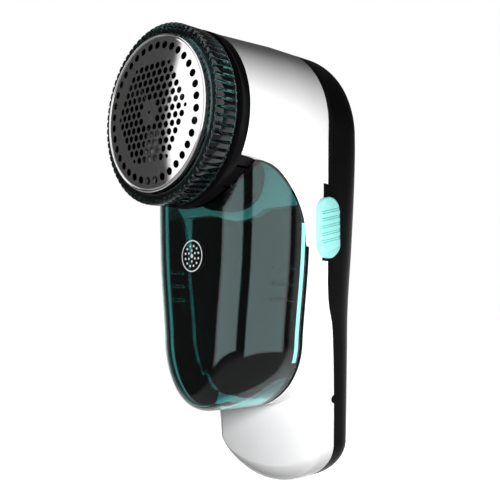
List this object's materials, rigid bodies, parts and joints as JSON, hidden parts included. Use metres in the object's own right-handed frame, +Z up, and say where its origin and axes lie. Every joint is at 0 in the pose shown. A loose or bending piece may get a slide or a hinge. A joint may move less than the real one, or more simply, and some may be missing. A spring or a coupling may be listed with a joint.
{
  "type": "fabric shaver",
  "caption": "Handheld battery fabric shaver: domed perforated steel foil in a screw ring, rotary blades, clear lint container, thumb slider.",
  "frame": {"origin": "middle of the bounding box at its lowest point, where the handle's rounded foot ends", "axes": "+Z up along the handle towards the cutting head, -Y the way the foil faces, +X to the side with the power slider"},
  "size_m": [0.0676, 0.0776, 0.163],
  "materials": {
    "white_shell": "high gloss moulded plastic",
    "black_cover": "satin moulded plastic",
    "black_head": "satin moulded plastic",
    "clear_teal": "clear tinted plastic",
    "foil_steel": "polished perforated steel foil",
    "mint_slider": "satin moulded plastic",
    "blade_steel": "ground steel",
    "motor_steel": "zinc-plated steel",
    "copper_winding": "enamelled copper wire",
    "contact_brass": "bare brass",
    "inner_plastic": "moulded plastic",
    "cell_wrap": "shrink wrap",
    "board": "solder-masked board",
    "lead_red": "soft wire insulation",
    "lead_black": "soft wire insulation"
  },
  "bodies": {
    "casing": {"front_shell": "white_shell", "rear_cover": "black_cover", "head_base": "black_head", "bay_panel": "black_head", "motor_can": "motor_steel", "motor_end_cap": "inner_plastic", "motor_screw_left": "blade_steel", "motor_screw_right": "blade_steel", "motor_terminal_left": "contact_brass", "motor_terminal_right": "contact_brass", "shaft_bush": "contact_brass", "switch_body": "inner_plastic", "battery_cell": "cell_wrap", "battery_tab_top": "contact_brass", "battery_tab_bottom": "contact_brass", "circuit_board": "board", "charging_socket": "blade_steel", "charge_light": "clear_teal", "lead_motor_red": "lead_red", "lead_motor_black": "lead_black", "lead_switch_red": "lead_red", "lead_socket_black": "lead_black", "case_screw_1": "blade_steel", "case_screw_2": "blade_steel", "case_screw_3": "blade_steel", "case_screw_4": "blade_steel"},
    "rotor": {"blade_hub": "black_head", "cutting_blade_1": "blade_steel", "cutting_blade_2": "blade_steel", "cutting_blade_3": "blade_steel", "blade_spring": "blade_steel", "drive_collar": "contact_brass", "motor_shaft": "blade_steel", "motor_armature": "copper_winding"},
    "foil_carrier": {"mesh_foil": "foil_steel"},
    "lock_ring": {"guard_ring": "clear_teal"},
    "container": {"lint_container": "clear_teal"},
    "slider": {"power_slider": "mint_slider", "switch_lever": "inner_plastic"}
  },
  "joints": [
    {"name": "power_slide", "type": "slide", "parent": "casing", "child": "slider", "axis": [0, 0, 1], "range_m": [0, 0.0045]},
    {"name": "blade_spin", "type": "hinge", "parent": "casing", "child": "rotor", "pos_m": [-0.0014, -0.03675, 0.1306], "axis": [0, -1, 0], "continuous": true},
    {"name": "foil_lift", "type": "slide", "parent": "casing", "child": "foil_carrier", "axis": [0, -1, 0], "range_m": [0, 0.0024]},
    {"name": "ring_turn", "type": "hinge", "parent": "foil_carrier", "child": "lock_ring", "pos_m": [-0.0014, -0.03675, 0.1306], "axis": [0, -1, 0], "range_deg": [0, 60]},
    {"name": "container_slide", "type": "slide", "parent": "casing", "child": "container", "axis": [0, 0, -1], "range_m": [0, 0.03]}
  ],
  "couplings": [
    {"joint": "foil_lift", "follows": "ring_turn", "m_per_rad": 0.0022917}
  ]
}
